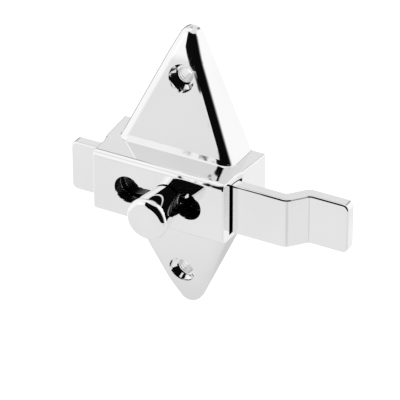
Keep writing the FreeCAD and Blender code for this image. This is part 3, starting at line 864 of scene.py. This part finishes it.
# %% [markdown]
# The cloth of a tent is never evenly lit. Four patches are brighter: the two sides, one in front on
# the left and one high on the left. Three are darker, one low and two small ones high, and all of
# them lie behind the latch, which is what the faces that look up mirror. A patch is full inside one
# angle and gone outside another. Both are given as cosines, because that is what the dot product of
# two directions is.

# %% Bright sides
TENT_LEVEL = 0.82
# azimuth, elevation, cosine where the patch is full, cosine where it ends, and how much it changes
TENT_PATCHES = [(-80, 5, 0.85, 0.62, 0.2),
                (118, 8, 0.75, 0.5, 0.22),
                (-28, 22, 0.97, 0.9, 0.2),
                (-85, 66, 0.96, 0.93, 0.2),
                (-142, -12, 0.94, 0.84, -0.5),
                (166, 39, 0.996, 0.99, -0.6),
                (-145, 47, 0.996, 0.985, -0.5)]
tent = TENT_LEVEL
for azimuth, elevation, full, none, change in TENT_PATCHES:
    turned = add_node(tree, "ShaderNodeVectorMath", {0: towards, 1: direction(azimuth, elevation)},
                      operation="DOT_PRODUCT")
    patch = add_node(tree, "ShaderNodeMapRange", {
        "Value": turned.outputs["Value"], "From Min": none, "From Max": full, "To Max": change},
        interpolation_type="SMOOTHSTEP")
    tent = add_node(tree, "ShaderNodeMath", {0: patch.outputs[0], 1: tent}, operation="ADD").outputs[0]
print(len(TENT_PATCHES), "patches on the tent")

# %% [markdown]
# The tent is open in front, and that tall dark opening is the black in the chrome. Its left edge is
# sharp and a little bowed, and it is what draws the black band with one hard side down the wedge.
# To the right it fades into the tent's side, and above it the roof closes it. Each of the three is
# a number from dark to lit, and the brightest of them wins.

# %% The dark opening
OPENING_EDGE, EDGE_HALF = -0.412, 0.004  # x of the directions on the left edge, and half its softness
# height where a bow of the left edge starts, height where it is full, and how far it goes
EDGE_BOWS = [(0.02, -0.15, 0.019), (0.45, 0.85, 0.014)]
FADE_FROM, FADE_TO, FADE_POWER = -0.62, 0.02, 1.55
ROOF_FROM, ROOF_TO = 0.85, 0.91
DARKEST = 0.004
bowed = axes["X"]
for start, end, bow in EDGE_BOWS:
    lean = add_node(tree, "ShaderNodeMapRange", {
        "Value": axes["Z"], "From Min": start, "From Max": end, "To Max": -bow},
        interpolation_type="SMOOTHSTEP")
    bowed = add_node(tree, "ShaderNodeMath", {0: lean.outputs[0], 1: bowed}, operation="ADD").outputs[0]
left_wall = add_node(tree, "ShaderNodeMapRange", {
    "Value": bowed, "From Min": OPENING_EDGE + EDGE_HALF, "From Max": OPENING_EDGE - EDGE_HALF},
    interpolation_type="SMOOTHSTEP")
level = add_node(tree, "ShaderNodeVectorMath", {0: towards, 1: (1.0, 1.0, 0.0)}, operation="MULTIPLY")
compass = add_node(tree, "ShaderNodeVectorMath", {0: level.outputs[0]}, operation="NORMALIZE")
ahead = add_node(tree, "ShaderNodeSeparateXYZ", {0: compass.outputs[0]})
side = add_node(tree, "ShaderNodeMapRange", {
    "Value": ahead.outputs["Y"], "From Min": FADE_FROM, "From Max": FADE_TO},
    interpolation_type="SMOOTHSTEP")
fading = add_node(tree, "ShaderNodeMath", {0: side.outputs[0], 1: FADE_POWER}, operation="POWER")
roof = add_node(tree, "ShaderNodeMapRange", {
    "Value": axes["Z"], "From Min": ROOF_FROM, "From Max": ROOF_TO}, interpolation_type="SMOOTHSTEP")
lit = DARKEST
for wall in (left_wall, fading, roof):
    lit = add_node(tree, "ShaderNodeMath", {0: wall.outputs[0], 1: lit}, operation="MAXIMUM").outputs[0]
tent = add_node(tree, "ShaderNodeMath", {0: tent, 1: lit}, operation="MULTIPLY").outputs[0]
print("opening starts at", round(math.degrees(math.asin(OPENING_EDGE)), 1), "degrees")

# %% [markdown]
# The camera sees none of the tent. Where the floor ends it sees a plain white backdrop, which comes
# out as white as the floor, so the tent is for every ray but those straight from the camera.

# %% Backdrop
BACKDROP_LEVEL = 1.2
paths = add_node(tree, "ShaderNodeLightPath")
seen = add_node(tree, "ShaderNodeMix", {0: paths.outputs["Is Camera Ray"], 2: tent, 3: BACKDROP_LEVEL},
                data_type="FLOAT")
backing = add_node(tree, "ShaderNodeBackground", {
    "Color": linear("ffffff"), "Strength": seen.outputs[0]})
add_node(tree, "ShaderNodeOutputWorld", {"Surface": backing.outputs[0]})
print("backdrop level", BACKDROP_LEVEL, "against", TENT_LEVEL, "in the tent")

# %% [markdown]
# The camera looks down on the latch from the front right, with a long lens, so that parallel edges
# stay nearly parallel. The lens follows from the distance and from how many pixels of the picture
# one millimetre of the part should fill. The Standard view shows each level as it is worked out,
# which suits chrome on white.

# %% Camera
AZIMUTH = math.radians(28.69)
ELEVATION = math.radians(31.0)
DISTANCE = 1000 * MM
PIXELS_PER_MM = 3.15
PICTURE = 400
SENSOR = 36
NEAREST = 10 * MM
CENTRE_ACROSS = -1.786 * MM
CENTRE_UP = 11.423 * MM
backwards = Vector((math.sin(AZIMUTH) * math.cos(ELEVATION), -math.cos(AZIMUTH) * math.cos(ELEVATION),
                    math.sin(ELEVATION)))
right = Vector((math.cos(AZIMUTH), math.sin(AZIMUTH), 0))
up = backwards.cross(right)
lens = bpy.data.cameras.new("camera")
lens.sensor_width = SENSOR
lens.lens = PIXELS_PER_MM * (DISTANCE / MM) * SENSOR / PICTURE
lens.clip_start = NEAREST
camera = bpy.data.objects.new("camera", lens)
bpy.context.scene.collection.objects.link(camera)
camera.location = backwards * DISTANCE - right * CENTRE_ACROSS - up * CENTRE_UP
camera.rotation_euler = backwards.to_track_quat("Z", "Y").to_euler()
bpy.context.scene.camera = camera
bpy.context.scene.view_settings.view_transform = "Standard"
print("lens", round(lens.lens, 1), "mm")
